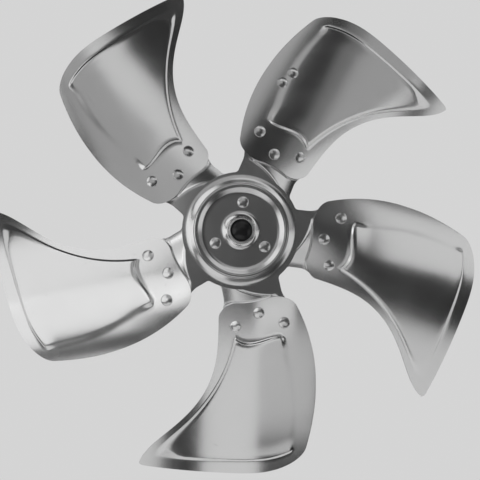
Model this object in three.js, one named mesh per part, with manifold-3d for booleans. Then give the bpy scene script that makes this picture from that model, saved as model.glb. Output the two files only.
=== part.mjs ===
// Axial fan wheel of riveted sheet steel, on its drive shaft and the flanged bearing that carries it.
// Millimetres. The fan spins about Y, its front looks along -Y and Z is up.
// The origin is on the shaft's axis, in the front face of the hub plate.

import * as THREE from 'three';
import { mergeVertices } from 'three/addons/utils/BufferGeometryUtils.js';
import Module from 'manifold-3d';

const wasm = await Module();
wasm.setup();

// Clearances
const seatGap = 0.3; // between faces that lie on each other
const fitGap = 0.2; // on the radius, round a shaft, pin or screw in its hole
const runningGap = 0.4; // between a turning piece and a still one

// Hub plate of the spider, from the shaft outwards
const shaftRadius = 9.5;
const noseWall = 1.6;
const spiderSheet = 2.5;
const collarHeight = 5.5;
const collarSlope = 6.8;
const plateWidth = 13.1;
const beadRise = 8.7;
const beadCrest = 1;
const beadFall = 8.1;
const beadHeight = 3.2;
const notchMargin = 2.7;
const noseRadius = shaftRadius + fitGap + noseWall;
const collarRadius = noseRadius + seatGap;
const collarFoot = collarRadius + collarSlope;
const plateRadius = collarFoot + plateWidth;
const crestInside = plateRadius + beadRise;
const crestOutside = crestInside + beadCrest;
const beadFoot = crestOutside + beadFall;
const notchFloor = beadFoot + notchMargin;

// Wheel
const bladeCount = 5;
const firstBladeAngle = -5.7; // degrees from +X towards +Z
const rimRadius = 215; // outer edge of a blade
const tipReach = 14; // how far the swept tip stands beyond the outer edge
const rootReach = 12.3; // of an arm's open stretch, from the notch floor to the blade
const rootRadius = notchFloor + rootReach; // inner edge of a blade
const bladeSheet = 1.6;

// Blade outline: angle of each edge from the blade's axis, from the root to the rim, in degrees
const trailingAngles = [-26.3, -19.8, -19.9, -35.9, -35.5];
const leadingAngles = [24.4, 20.6, 12.9, 5.2];
const trailingRootRise = 14;
const trailingRootShare = 0.22; // of the chord
const leadingRootRise = 16.5;
const leadingRootShare = 0.3;
const rimCornerDrop = 20;
const rimCornerShare = 0.34;
const tipShare = 0.55; // share of the chord over which the outer edge grows into the tip
const tipCornerDrop = 2.5;
const tipCornerShare = 0.035;

// Blade form: a sheet curved one way, raked back and pitched
const bladeSeatDepth = 3; // front face at the middle rivet, behind the hub plate's front
const rakeSlope = 0.12; // fall to the rear along the blade
const pitchSlope = 0.22; // fall to the rear towards the trailing edge
const camberRadius = 205;
const camberAxisAngle = -15; // degrees from the blade's axis

// Raised panel of a blade
const panelHeight = 2;
const panelStep = 3.2;
const panelSoftStep = 15;
const trailingFlangeAtRoot = 14;
const trailingFlangeAtRim = 7.5;
const leadingFlange = 18.5;
const rimFlange = 10;
const panelInset = 29.2; // of the panel's inner edge from the blade's root, at the trailing end
const panelWaveHeight = 12.5;
const panelWave = [0, 1, -0.12, 0.56]; // the S of that edge, in shares of its height

// Rivets
const rivetRadius = 3;
const rivetHeadRadius = 5.1;
const rivetHeadHeight = 3;
const rivetTailRadius = 4.6;
const rivetTailHeight = 2.2;
const leadingRivetInset = 25.4; // from the blade's root
const middleRivetInset = 10;
const trailingRivetInset = 20.4;
const bladeRivets = [
  { name: 'leading', radius: rootRadius + leadingRivetInset, angle: 12.9 },
  { name: 'middle', radius: rootRadius + middleRivetInset, angle: 0 },
  { name: 'trailing', radius: rootRadius + trailingRivetInset, angle: -15.3 },
];
const hubRivetInset = 6.8; // from the collar's foot
const hubRivetCircle = collarFoot + hubRivetInset;
const hubRivetCount = 3;
const hubRivetAngle = 86;

// Arms of the spider
const notchFillet = 4;
const armHalfWidth = 25.4;
const armOffset = -1.8; // the arm's middle line, towards the trailing edge
const armLap = 28.7; // of the arm behind the blade
const armRivetEdge = 8.6; // from the outer rivets to the sides of the arm's end
const armEndSlant = 0.1;
const armCorner = 9;
const armBendRun = 4.5; // over which an arm's face bends away from the plate
const armBendSlope = 1.05;
const armBendAngle = -26; // of the bend's direction from the arm's axis
const armBendStart = notchFloor - armBendRun / 2;
const armBendFoot = 2; // rounding where the bent face meets the blade's slope
const [rivetAcross, rivetBack] = [bladeRivets[0], bladeRivets[2]].map(
  ({ radius, angle }) => radius * Math.sin(angle * Math.PI / 180),
);
const armEndHalfWidth = (rivetAcross - rivetBack) / 2 + armRivetEdge;
const armEnd = rootRadius + armLap;
const filletTop = notchFloor + notchFillet;
const armSeatMargin = 1.5;
const armSeatRadius = rootRadius - armSeatMargin; // from here outwards the arm lies along the blade

// Hub sleeve
const nosePitch = 2.5; // how far the sleeve's nose stands out of the collar
const sleeveFlangeEdge = 7.8; // outside the rivets
const sleeveFlangeRadius = hubRivetCircle + sleeveFlangeEdge;
const sleeveFlangeThickness = 5;
const bossWall = 7.3;
const bossLength = 22;
const chamfer = 1;
const keyWidth = 6;
const keyHeight = 6;
const keyDepthInShaft = 3.5;
const keyLength = 18;
const screwRadius = 4;
const screwSocket = 2;

// Shaft
const shaftDomeHeight = 2.2;
const shaftRecess = 1; // of the dome's top behind the sleeve's nose
const shaftProjection = 40; // behind the bearing flange
const driveFlatLength = 28;
const driveFlatDepth = 1;

// Bearing unit
const tipClearance = 14; // from the rear of the blades to the mounting face
const innerRingWall = 4.3;
const ballRadius = 3.97;
const ballSink = 1.22; // of the balls in the grooves
const ballCount = 8;
const innerRingFront = 18.3;
const innerRingRear = 12.7;
const outerRingWall = 4.3;
const outerRingWidth = 17;
const grooveGap = 0.3;
const cageThickness = 2.4;
const cageWidth = 9.2;
const sealThickness = 1.2;
const sealInset = 0.8;
const housingLip = 1.2;
const housingWall = 6.2;
const noseFillet = 2;
const flangeThickness = 12;
const flangeRecess = 3.3;
const boltHoleRadius = 4.5;
const boltHeadRoom = 7.5; // radius of a bolt's head with its clearance
const boltEdge = 5.5;
const boltCount = 3;
const boreRadius = shaftRadius + fitGap;
const bossRadius = boreRadius + bossWall;
const innerRingRadius = boreRadius + innerRingWall;
const ballCircle = innerRingRadius + ballRadius - ballSink;
const outerRingInner = ballCircle + ballRadius - ballSink - grooveGap;
const outerRingRadius = outerRingInner + outerRingWall;
const housingSeat = outerRingRadius + fitGap;
const housingNoseRadius = housingSeat + housingWall;
const boltCircle = housingNoseRadius + noseFillet + boltHeadRoom;
const flangeRadius = boltCircle + boltHoleRadius + boltEdge;

// Facets round a turned piece
const rivetFacets = 8;
const turnedFacets = 24;

// Places along the axis
const sleeveFlangeFront = spiderSheet + seatGap;
const sleeveFlangeRear = sleeveFlangeFront + sleeveFlangeThickness;
const bossRear = sleeveFlangeRear + bossLength;
const noseFront = -collarHeight - nosePitch;

// Helpers
const radians = (degrees) => THREE.MathUtils.degToRad(degrees);
const lerp = (a, b, share) => a + (b - a) * share;
const ease = (x) => THREE.MathUtils.smoothstep(x, 0, 1);

// A curve between its first and last values that leans towards the values in between.
function blendValues(values, share) {
  let row = values.slice();
  while (row.length > 1) {
    row = row.slice(1).map((value, i) => lerp(row[i], value, share));
  }
  return row[0];
}

// Height of a quarter round, from 1 at x = 0 down to 0 at x = 1.
function quarterRound(x) {
  if (x >= 1) {
    return 0;
  }
  return 1 - Math.sqrt(1 - (1 - x) ** 2);
}

// Blade surface in the blade's own plan: u runs out along its axis, v towards the leading edge.
function bladeFront(u, v) {
  const axis = radians(camberAxisAngle);
  const reach = u - bladeRivets[1].radius;
  const along = reach * Math.cos(axis) + v * Math.sin(axis);
  const across = v * Math.cos(axis) - reach * Math.sin(axis);
  return bladeSeatDepth + rakeSlope * along - pitchSlope * across + across ** 2 / (2 * camberRadius);
}

// Unit vector out of the blade's front face, in plan axes u and v and depth y.
function bladeNormal(u, v) {
  const step = 0.01;
  const slopeU = (bladeFront(u + step, v) - bladeFront(u - step, v)) / (2 * step);
  const slopeV = (bladeFront(u, v + step) - bladeFront(u, v - step)) / (2 * step);
  return new THREE.Vector3(slopeU, -1, slopeV).normalize();
}

// Blade outline. s runs from the trailing edge (0) to the leading edge (1), t from root (0) to rim (1).
function rootEdge(s) {
  const trailing = trailingRootRise * quarterRound(s / trailingRootShare);
  const leading = leadingRootRise * quarterRound((1 - s) / leadingRootShare);
  return rootRadius + trailing + leading;
}

function rimEdge(s) {
  const tip = tipReach * Math.max(0, 1 - s / tipShare) ** 2;
  const point = tipCornerDrop * quarterRound(s / tipCornerShare);
  const corner = rimCornerDrop * quarterRound((1 - s) / rimCornerShare);
  return rimRadius + tip - point - corner;
}

function bladeStation(s, t) {
  const inner = rootEdge(s);
  const outer = rimEdge(s);
  const radius = lerp(inner, outer, t);
  const trailing = blendValues(trailingAngles, t);
  const leading = blendValues(leadingAngles, t);
  const angle = radians(lerp(trailing, leading, s));
  const chord = radius * radians(leading - trailing);
  const u = radius * Math.cos(angle);
  const v = radius * Math.sin(angle);
  return { inner, outer, radius, chord, u, v };
}

// Raised panel: the share of the chord or span where each of its sides lies.
const trailingFlange = (t) => lerp(trailingFlangeAtRoot, trailingFlangeAtRim, ease(t / 0.6));
const panelTrailing = (t, chord) => trailingFlange(t) / chord;
const panelLeading = (chord) => 1 - leadingFlange / chord;
const softness = (t) => Math.sin(Math.PI * THREE.MathUtils.clamp((t - 0.2) / 0.65, 0, 1)) ** 2;
const leadingStep = (t) => lerp(panelStep, panelSoftStep, softness(t));

function panelHeel(s, t, chord) {
  const start = panelTrailing(t, chord);
  const share = THREE.MathUtils.clamp((s - start) / (panelLeading(chord) - start), 0, 1);
  return rootRadius + panelInset + panelWaveHeight * blendValues(panelWave, share);
}

// How far the panel stands in front of the plain sheet.
function panelRise(s, t) {
  const { radius, chord, outer } = bladeStation(s, t);
  const fromTrailing = (s - panelTrailing(t, chord)) * chord;
  const fromLeading = (panelLeading(chord) - s) * chord;
  const fromHeel = radius - panelHeel(s, t, chord);
  const fromRim = outer - rimFlange - radius;
  const sides = ease(fromTrailing / panelStep) * ease(fromLeading / leadingStep(t));
  return panelHeight * sides * ease(fromHeel / panelStep) * ease(fromRim / panelStep);
}

// Lines of the blade's net, set on the feet and tops of the panel's steps.
const flangeShares = [0, 0.12, 0.5, 1];
const middleShares = [0, 0.25, 0.5, 0.75, 1];
const frontShares = [0, 0.3, 0.62, 0.88, 1];
const rootShares = [0, 0.5, 1];
const spanShares = [0, 0.16, 0.34, 0.52, 0.7, 0.86, 1];

function columnLines(t, chord) {
  const foot = panelTrailing(t, chord);
  const top = foot + panelStep / chord;
  const farFoot = panelLeading(chord);
  const farTop = farFoot - leadingStep(t) / chord;
  const lines = flangeShares.map((share) => foot * share);
  lines.push(...middleShares.map((share) => lerp(top, farTop, share)));
  lines.push(...frontShares.map((share) => lerp(farFoot, 1, share)));
  return lines;
}

function rowLines(s, t, station) {
  const span = station.outer - station.inner;
  const foot = (panelHeel(s, t, station.chord) - station.inner) / span;
  const top = foot + panelStep / span;
  const farFoot = 1 - rimFlange / span;
  const farTop = farFoot - panelStep / span;
  const lines = rootShares.map((share) => foot * share);
  lines.push(...spanShares.map((share) => lerp(top, farTop, share)));
  lines.push(farFoot, lerp(farFoot, 1, 0.5), 1);
  return lines;
}

// A sheet of front points that share edges, closed by its rear face and its rim.
function makeNet() {
  return { points: [], triangles: [], index: new Map() };
}

function netPoint(net, point) {
  const key = point.toArray().map((value) => Math.round(value * 1000)).join();
  if (!net.index.has(key)) {
    net.index.set(key, net.points.length);
    net.points.push(point);
  }
  return net.index.get(key);
}

// Adds a grid whose rows run outwards and whose columns run from trailing to leading.
function addGrid(net, grid) {
  const ids = grid.map((row) => row.map((point) => netPoint(net, point)));
  for (let j = 0; j + 1 < ids.length; j += 1) {
    for (let i = 0; i + 1 < ids[j].length; i += 1) {
      const [a, b, c, d] = [ids[j][i], ids[j + 1][i], ids[j + 1][i + 1], ids[j][i + 1]];
      net.triangles.push([a, b, c], [a, c, d]);
    }
  }
}

function closeSheet(net, thickness) {
  const count = net.points.length;
  const rear = net.points.map((point) => point.clone().add(new THREE.Vector3(0, thickness, 0)));
  const faces = net.triangles.map((face) => face.slice());
  const edges = new Map();
  for (const [a, b, c] of net.triangles) {
    faces.push([a + count, c + count, b + count]);
    for (const [from, to] of [[a, b], [b, c], [c, a]]) {
      edges.set(`${from},${to}`, [from, to]);
    }
  }
  for (const [from, to] of edges.values()) {
    if (!edges.has(`${to},${from}`)) {
      faces.push([to, from, from + count], [to, from + count, to + count]);
    }
  }
  const geometry = new THREE.BufferGeometry();
  geometry.setFromPoints([...net.points, ...rear]);
  geometry.setIndex(faces.flat());
  return geometry;
}

// Solids for cutting and joining
function toSolid(geometry) {
  const bare = geometry.clone();
  bare.deleteAttribute('normal');
  bare.deleteAttribute('uv');
  const welded = mergeVertices(bare);
  return new wasm.Manifold(new wasm.Mesh({
    numProp: 3,
    vertProperties: new Float32Array(welded.attributes.position.array),
    triVerts: new Uint32Array(welded.index.array),
  }));
}

function fromSolid(solid) {
  const { vertProperties, triVerts } = solid.getMesh();
  const geometry = new THREE.BufferGeometry();
  geometry.setAttribute('position', new THREE.BufferAttribute(vertProperties, 3));
  geometry.setIndex(new THREE.BufferAttribute(triVerts, 1));
  return geometry;
}

function cut(geometry, tools) {
  let solid = toSolid(geometry);
  for (const tool of tools) {
    solid = solid.subtract(toSolid(tool));
  }
  return fromSolid(solid);
}

function signedVolume(geometry) {
  const position = geometry.attributes.position;
  const corners = [0, 1, 2].map(() => new THREE.Vector3());
  let volume = 0;
  for (let i = 0; i < geometry.index.count; i += 3) {
    corners.forEach((corner, n) => corner.fromBufferAttribute(position, geometry.index.getX(i + n)));
    volume += corners[0].dot(corners[1].cross(corners[2])) / 6;
  }
  return volume;
}

// A turned piece about Y, from a profile of [radius, y] that starts and ends on the axis or closes.
function turned(profile, facets) {
  const points = profile.map(([radius, y]) => new THREE.Vector2(radius, y));
  const geometry = fromSolid(toSolid(weldLathe(new THREE.LatheGeometry(points, facets))));
  return geometry;
}

function weldLathe(lathe) {
  lathe.deleteAttribute('normal');
  lathe.deleteAttribute('uv');
  const welded = mergeVertices(lathe);
  const kept = [];
  for (let i = 0; i < welded.index.count; i += 3) {
    const face = [0, 1, 2].map((n) => welded.index.getX(i + n));
    if (new Set(face).size === 3) {
      kept.push(face);
    }
  }
  welded.setIndex(kept.flat());
  if (signedVolume(welded) < 0) {
    welded.setIndex(kept.flatMap(([a, b, c]) => [a, c, b]));
  }
  return welded;
}

// A plain pin along Y, for holes.
function pin(radius, from, to, facets) {
  return turned([[0, from], [radius, from], [radius, to], [0, to]], facets);
}

// An arc of profile points round a centre, in degrees from +radius towards +y.
function profileArc(centreRadius, centreY, radius, from, to, steps) {
  const points = [];
  for (let i = 0; i <= steps; i += 1) {
    const angle = radians(lerp(from, to, i / steps));
    points.push([centreRadius + radius * Math.cos(angle), centreY + radius * Math.sin(angle)]);
  }
  return points;
}

const block = (x, y, z, centre) => new THREE.BoxGeometry(x, y, z).translate(...centre);

// Materials
const finish = (color, roughness, metalness = 1) => new THREE.MeshStandardMaterial({
  color,
  roughness,
  metalness,
});
const brightSteel = () => finish(0xc4c4c4, 0.25);
const blackSteel = () => finish(0x161616, 0.35);
const turnedSteel = () => finish(0xa8a8a8, 0.3);
const screwSteel = () => finish(0x2a2a2a, 0.45);
const castIron = () => finish(0x5c6064, 0.6, 0.4);
const bearingSteel = () => finish(0xbfc2c4, 0.15);
const brassCage = () => finish(0xb08d4a, 0.4);
const sealRubber = () => finish(0x1b1b1b, 0.8, 0);

const fan = new THREE.Group();

function addPiece(parent, name, geometry, material) {
  const mesh = new THREE.Mesh(geometry, material);
  mesh.name = name;
  parent.add(mesh);
  return mesh;
}

// Rivet: domed head in front of y = 0, shank through the grip, upset tail behind it.
function makeRivet(grip) {
  const sphere = (rivetHeadRadius ** 2 + rivetHeadHeight ** 2) / (2 * rivetHeadHeight);
  const half = THREE.MathUtils.radToDeg(Math.asin(rivetHeadRadius / sphere));
  const dome = profileArc(0, sphere - rivetHeadHeight, sphere, -90, -90 + half, 2);
  dome[0][0] = 0;
  const seat = -seatGap / 2;
  const rear = grip + seatGap;
  const tail = [
    [rivetTailRadius, rear],
    [rivetTailRadius * 0.8, rear + rivetTailHeight],
    [0, rear + rivetTailHeight],
  ];
  const shank = [[rivetRadius, seat], [rivetRadius, rear]];
  const head = dome.map(([r, y]) => [r, y + seat]);
  return turned([...head, ...shank, ...tail], rivetFacets);
}

// Moves a piece made about Y so that it stands on the blade's face, along its normal.
function ontoBlade(geometry, { radius, angle }) {
  const u = radius * Math.cos(radians(angle));
  const v = radius * Math.sin(radians(angle));
  const lean = new THREE.Quaternion();
  lean.setFromUnitVectors(new THREE.Vector3(0, -1, 0), bladeNormal(u, v));
  return geometry.clone().applyQuaternion(lean).translate(u, bladeFront(u, v), v);
}

const bladeTurn = (index) => firstBladeAngle + index * 360 / bladeCount;

// Blade
function makeBlade() {
  const rows = rootShares.length + spanShares.length + 3;
  const columns = flangeShares.length + middleShares.length + frontShares.length;
  const grid = [];
  for (let j = 0; j < rows; j += 1) {
    const row = [];
    for (let i = 0; i < columns; i += 1) {
      let s = i / (columns - 1);
      let t = j / (rows - 1);
      for (let pass = 0; pass < 12; pass += 1) {
        s = columnLines(t, bladeStation(s, t).chord)[i];
        t = rowLines(s, t, bladeStation(s, t))[j];
      }
      const { u, v } = bladeStation(s, t);
      row.push(new THREE.Vector3(u, bladeFront(u, v) - panelRise(s, t), v));
    }
    grid.push(row);
  }
  const net = makeNet();
  addGrid(net, grid);
  const hole = pin(rivetRadius + fitGap, -rivetHeadHeight, spiderSheet * 3, rivetFacets);
  return cut(closeSheet(net, bladeSheet), bladeRivets.map((rivet) => ontoBlade(hole, rivet)));
}

// Spider: depth of its front face in the plan of one arm, positive to the rear.
function hubProfile(radius) {
  if (radius < collarFoot) {
    return -collarHeight * ((collarFoot - radius) / (collarFoot - collarRadius)) ** 2;
  }
  return -beadHeight * ease((radius - plateRadius) / beadRise) * ease((beadFoot - radius) / beadFall);
}

function armDepth(u, v) {
  const bend = radians(armBendAngle);
  const past = Math.max(0, u * Math.cos(bend) + v * Math.sin(bend) - armBendStart);
  const rounded = past < armBendRun ? past ** 2 / (2 * armBendRun) : past - armBendRun / 2;
  const bent = rounded * armBendSlope;
  const seat = bladeFront(u, v) + bladeSheet + seatGap;
  const share = THREE.MathUtils.clamp(0.5 + (seat - bent) / (2 * armBendFoot), 0, 1);
  const met = lerp(seat, bent, share) - armBendFoot * share * (1 - share);
  return lerp(met, seat, ease((Math.hypot(u, v) - filletTop) / (armSeatRadius - filletTop)));
}

// Half width of an arm, which flares into the floor of the notch with a fillet.
function armEdge(radius) {
  return armHalfWidth + notchFillet * quarterRound((radius - notchFloor) / notchFillet);
}

function armRingPoint(across, radius) {
  const v = armOffset + across * armEdge(radius);
  return [Math.sqrt(radius ** 2 - v ** 2), v];
}

// A point of the arm behind the blade, from the blade's root (0) to the arm's end (1).
function armLapPoint(across, along) {
  const edge = Math.abs(across) * armEndHalfWidth;
  const corner = armCorner * quarterRound((armEndHalfWidth - edge) / armCorner);
  const vEnd = armOffset + across * armEndHalfWidth;
  const uEnd = armEnd + armEndSlant * vEnd - corner;
  const [u, v] = armRingPoint(across, armSeatRadius);
  return [lerp(u, uEnd, along), lerp(v, vEnd, ease(along / 0.6))];
}

const armColumns = [-1, -0.82, -0.3, 0.3, 0.82, 1];
const armRings = [
  notchFloor,
  lerp(notchFloor, filletTop, 0.3),
  filletTop,
  lerp(filletTop, armSeatRadius, 0.5),
  armSeatRadius,
];
const armLaps = [0.33, 0.67, 1];
const hubRings = [
  collarRadius,
  lerp(collarRadius, collarFoot, 0.35),
  collarFoot,
  plateRadius,
  lerp(plateRadius, crestInside, 0.5),
  crestInside,
  crestOutside,
  lerp(crestOutside, beadFoot, 0.5),
  beadFoot,
  notchFloor,
];

function makeSpider() {
  const net = makeNet();
  const sector = 2 * Math.PI / bladeCount;
  const at = (radius, angle, depth) => new THREE.Vector3(
    radius * Math.cos(angle),
    depth,
    radius * Math.sin(angle),
  );
  const floorAngle = (across) => {
    const [u, v] = armRingPoint(across, notchFloor);
    return Math.atan2(v, u);
  };
  for (let arm = 0; arm < bladeCount; arm += 1) {
    const turn = radians(bladeTurn(arm));
    const angles = armColumns.map(floorAngle);
    angles.push((floorAngle(1) + floorAngle(-1) + sector) / 2, floorAngle(-1) + sector);
    addGrid(net, hubRings.map((radius) => angles.map((a) => at(radius, a + turn, hubProfile(radius)))));
    const plan = armRings.map((radius) => armColumns.map((across) => armRingPoint(across, radius)));
    plan.push(...armLaps.map((along) => armColumns.map((across) => armLapPoint(across, along))));
    const rows = plan.map((row, j) => row.map(([u, v]) => (
      at(Math.hypot(u, v), Math.atan2(v, u) + turn, j === 0 ? 0 : armDepth(u, v))
    )));
    addGrid(net, rows);
  }
  const holes = [];
  const bladeHole = pin(rivetRadius + fitGap, -rivetHeadHeight, spiderSheet * 4, rivetFacets);
  for (let arm = 0; arm < bladeCount; arm += 1) {
    for (const rivet of bladeRivets) {
      holes.push(ontoBlade(bladeHole, rivet).rotateY(-radians(bladeTurn(arm))));
    }
  }
  const hubHole = pin(rivetRadius + fitGap, -spiderSheet, spiderSheet * 2, rivetFacets);
  for (const centre of hubRivetCentres()) {
    holes.push(hubHole.clone().translate(...centre));
  }
  return cut(closeSheet(net, spiderSheet), holes);
}

function hubRivetCentres() {
  const centres = [];
  for (let i = 0; i < hubRivetCount; i += 1) {
    const angle = radians(hubRivetAngle + i * 360 / hubRivetCount);
    centres.push([hubRivetCircle * Math.cos(angle), 0, hubRivetCircle * Math.sin(angle)]);
  }
  return centres;
}

const screwY = sleeveFlangeRear + bossLength * 0.55;
const keyY = bossRear - keyLength / 2 - 1;

// Hub sleeve: nose through the collar, flange behind the plate, boss with keyway and two tapped holes
function makeSleeve() {
  const bore = shaftRadius + fitGap;
  const body = turned([
    [bore, noseFront],
    [noseRadius - 0.4, noseFront],
    [noseRadius, noseFront + 0.4],
    [noseRadius, sleeveFlangeFront],
    [sleeveFlangeRadius, sleeveFlangeFront],
    [sleeveFlangeRadius, sleeveFlangeRear - chamfer],
    [sleeveFlangeRadius - chamfer, sleeveFlangeRear],
    [bossRadius + 2, sleeveFlangeRear],
    [bossRadius, sleeveFlangeRear + 2],
    [bossRadius, bossRear - chamfer],
    [bossRadius - chamfer, bossRear],
    [bore, bossRear],
    [bore, noseFront],
  ], turnedFacets);
  const depth = keyHeight - keyDepthInShaft + fitGap;
  const keyway = block(
    keyWidth + 2 * fitGap,
    keyLength + 4,
    bore + depth,
    [0, keyY + 2, (bore + depth) / 2],
  );
  const tapped = pin(screwRadius + fitGap, 0, bossRadius * 2, rivetFacets);
  const tools = [keyway, tapped.clone().rotateX(Math.PI / 2).translate(0, screwY, 0)];
  tools.push(tapped.clone().rotateZ(-Math.PI / 2).translate(0, screwY, 0));
  const hubHole = pin(rivetRadius + fitGap, 0, sleeveFlangeRear * 2, rivetFacets);
  tools.push(...hubRivetCentres().map((centre) => hubHole.clone().translate(...centre)));
  return cut(body, tools);
}

// Headless screw along Y: cup point at 0, hexagon socket at its outer end
function makeScrew(length) {
  const body = turned([
    [0, 0.6],
    [screwRadius * 0.5, 0],
    [screwRadius, 1.2],
    [screwRadius, length],
    [0, length],
  ], rivetFacets);
  return cut(body, [pin(screwSocket, length - 3, length + 1, 6)]);
}

// Sets a screw into a boss, pointing at the axis, from the given direction and at the given depth.
function placeScrew(geometry, y, inner, turnAboutY) {
  return geometry.clone().rotateX(Math.PI / 2).translate(0, 0, inner).rotateY(turnAboutY)
    .translate(0, y, 0);
}

// Places of the bearing along the axis, from the rear of the blades
function bladeRear() {
  let rear = 0;
  for (let i = 0; i <= 20; i += 1) {
    const { u, v } = bladeStation(i / 20, 1);
    rear = Math.max(rear, bladeFront(u, v) + bladeSheet);
  }
  return rear;
}
const mountY = bladeRear() + tipClearance;
const ballY = mountY - innerRingRear - seatGap - 2;
const shaftRear = mountY + shaftProjection;

// Drive shaft: domed front end, keyseat for the hub, flat for the drive's set screw
function makeShaft() {
  const front = noseFront + shaftRecess;
  const sphere = (shaftRadius ** 2 + shaftDomeHeight ** 2) / (2 * shaftDomeHeight);
  const half = THREE.MathUtils.radToDeg(Math.asin(shaftRadius / sphere));
  const dome = profileArc(0, front + sphere, sphere, -90, -90 + half, 4);
  dome[0][0] = 0;
  const rear = [
    [shaftRadius, shaftRear - chamfer],
    [shaftRadius - chamfer, shaftRear],
    [0, shaftRear],
  ];
  const seatFloor = shaftRadius - keyDepthInShaft - fitGap;
  const keySeat = block(
    keyWidth + 2 * fitGap,
    keyLength + 2 * fitGap,
    shaftRadius,
    [0, keyY, seatFloor + shaftRadius / 2],
  );
  const driveFlat = block(
    shaftRadius * 2,
    driveFlatLength * 2,
    shaftRadius,
    [0, shaftRear, shaftRadius * 1.5 - driveFlatDepth],
  );
  return cut(turned([...dome, ...rear], turnedFacets), [keySeat, driveFlat]);
}

function makeKey() {
  const key = block(keyWidth, keyLength, keyHeight, [0, 0, 0]);
  return key.translate(0, keyY, shaftRadius - keyDepthInShaft + keyHeight / 2);
}

// Bearing
const grooveRadius = ballRadius + grooveGap;
const collarScrewY = ballY - innerRingFront + 5;

function makeInnerRing() {
  const half = THREE.MathUtils.radToDeg(Math.acos((ballCircle - innerRingRadius) / grooveRadius));
  const groove = profileArc(ballCircle, ballY, grooveRadius, 180 + half, 180 - half, 4);
  const body = turned([
    [boreRadius, ballY - innerRingFront],
    [innerRingRadius, ballY - innerRingFront],
    ...groove,
    [innerRingRadius, ballY + innerRingRear],
    [boreRadius, ballY + innerRingRear],
    [boreRadius, ballY - innerRingFront],
  ], turnedFacets);
  const tapped = pin(screwRadius * 0.75 + fitGap, 0, innerRingRadius * 2, rivetFacets);
  const tools = [tapped.clone().rotateX(Math.PI / 2).translate(0, collarScrewY, 0)];
  tools.push(tapped.clone().rotateZ(-Math.PI / 2).translate(0, collarScrewY, 0));
  return cut(body, tools);
}

function makeOuterRing() {
  const half = outerRingWidth / 2;
  const sphereAngle = THREE.MathUtils.radToDeg(Math.asin(half / outerRingRadius));
  const side = THREE.MathUtils.radToDeg(Math.acos((outerRingInner - ballCircle) / grooveRadius));
  const groove = profileArc(ballCircle, ballY, grooveRadius, side, -side, 4);
  const sealSeat = sealInset + sealThickness + seatGap;
  return turned([
    ...profileArc(0, ballY, outerRingRadius, -sphereAngle, sphereAngle, 4),
    [outerRingInner + 1, ballY + half],
    [outerRingInner + 1, ballY + half - sealSeat],
    [outerRingInner, ballY + half - sealSeat],
    ...groove,
    [outerRingInner, ballY - half + sealSeat],
    [outerRingInner + 1, ballY - half + sealSeat],
    [outerRingInner + 1, ballY - half],
    [outerRingRadius * Math.cos(radians(sphereAngle)), ballY - half],
  ], turnedFacets);
}

function makeSeal(side) {
  const near = ballY + side * (outerRingWidth / 2 - sealInset - sealThickness);
  const far = ballY + side * (outerRingWidth / 2 - sealInset);
  const inner = innerRingRadius + runningGap;
  const outer = outerRingInner + 1 - fitGap;
  return turned([[inner, near], [outer, near], [outer, far], [inner, far], [inner, near]], turnedFacets);
}

function makeCage() {
  const inner = ballCircle - cageThickness / 2;
  const outer = ballCircle + cageThickness / 2;
  const front = ballY - cageWidth / 2;
  const rear = ballY + cageWidth / 2;
  const ring = turned([[inner, front], [outer, front], [outer, rear], [inner, rear], [inner, front]], ballCount * 2);
  const pocketRadius = (ballRadius + fitGap) / Math.cos(Math.PI / rivetFacets);
  const pocket = pin(pocketRadius, 0, ballCircle * 2, rivetFacets).rotateX(Math.PI / 2);
  const tools = [];
  for (let i = 0; i < ballCount; i += 1) {
    tools.push(pocket.clone().rotateY(i * 2 * Math.PI / ballCount).translate(0, ballY, 0));
  }
  return cut(ring, tools);
}

// Housing: round flange with a spherical seat for the outer ring
function makeHousing() {
  const half = outerRingWidth / 2;
  const seatAngle = THREE.MathUtils.radToDeg(Math.asin(half / housingSeat));
  const front = ballY - half - housingLip;
  const lipRadius = housingSeat * Math.cos(radians(seatAngle));
  const recessRadius = housingSeat + flangeRecess;
  const flangeFront = mountY - flangeThickness;
  const body = turned([
    [lipRadius, front],
    [housingNoseRadius - 2, front],
    [housingNoseRadius, front + 2],
    [housingNoseRadius, flangeFront - noseFillet],
    [housingNoseRadius + noseFillet, flangeFront],
    [flangeRadius - chamfer, flangeFront],
    [flangeRadius, flangeFront + chamfer],
    [flangeRadius, mountY],
    [recessRadius, mountY],
    [recessRadius, ballY + half + housingLip],
    [lipRadius, ballY + half + housingLip],
    ...profileArc(0, ballY, housingSeat, seatAngle, -seatAngle, 4),
    [lipRadius, front],
  ], turnedFacets);
  const bolt = pin(boltHoleRadius, flangeFront - 10, mountY + 10, 12);
  const tools = [];
  for (let i = 0; i < boltCount; i += 1) {
    const angle = Math.PI / 2 + i * 2 * Math.PI / boltCount;
    tools.push(bolt.clone().translate(boltCircle * Math.cos(angle), 0, boltCircle * Math.sin(angle)));
  }
  return cut(body, tools);
}

// Wheel
addPiece(fan, 'hub_spider', makeSpider(), brightSteel());
const bladeGeometry = makeBlade();
const rivetGeometry = makeRivet(bladeSheet + seatGap + spiderSheet);
for (let i = 0; i < bladeCount; i += 1) {
  const holder = new THREE.Group();
  holder.rotation.y = -radians(bladeTurn(i));
  addPiece(holder, `blade_${i + 1}`, bladeGeometry, brightSteel());
  for (const rivet of bladeRivets) {
    addPiece(holder, `blade_${i + 1}_rivet_${rivet.name}`, ontoBlade(rivetGeometry, rivet), brightSteel());
  }
  fan.add(holder);
}

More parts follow.
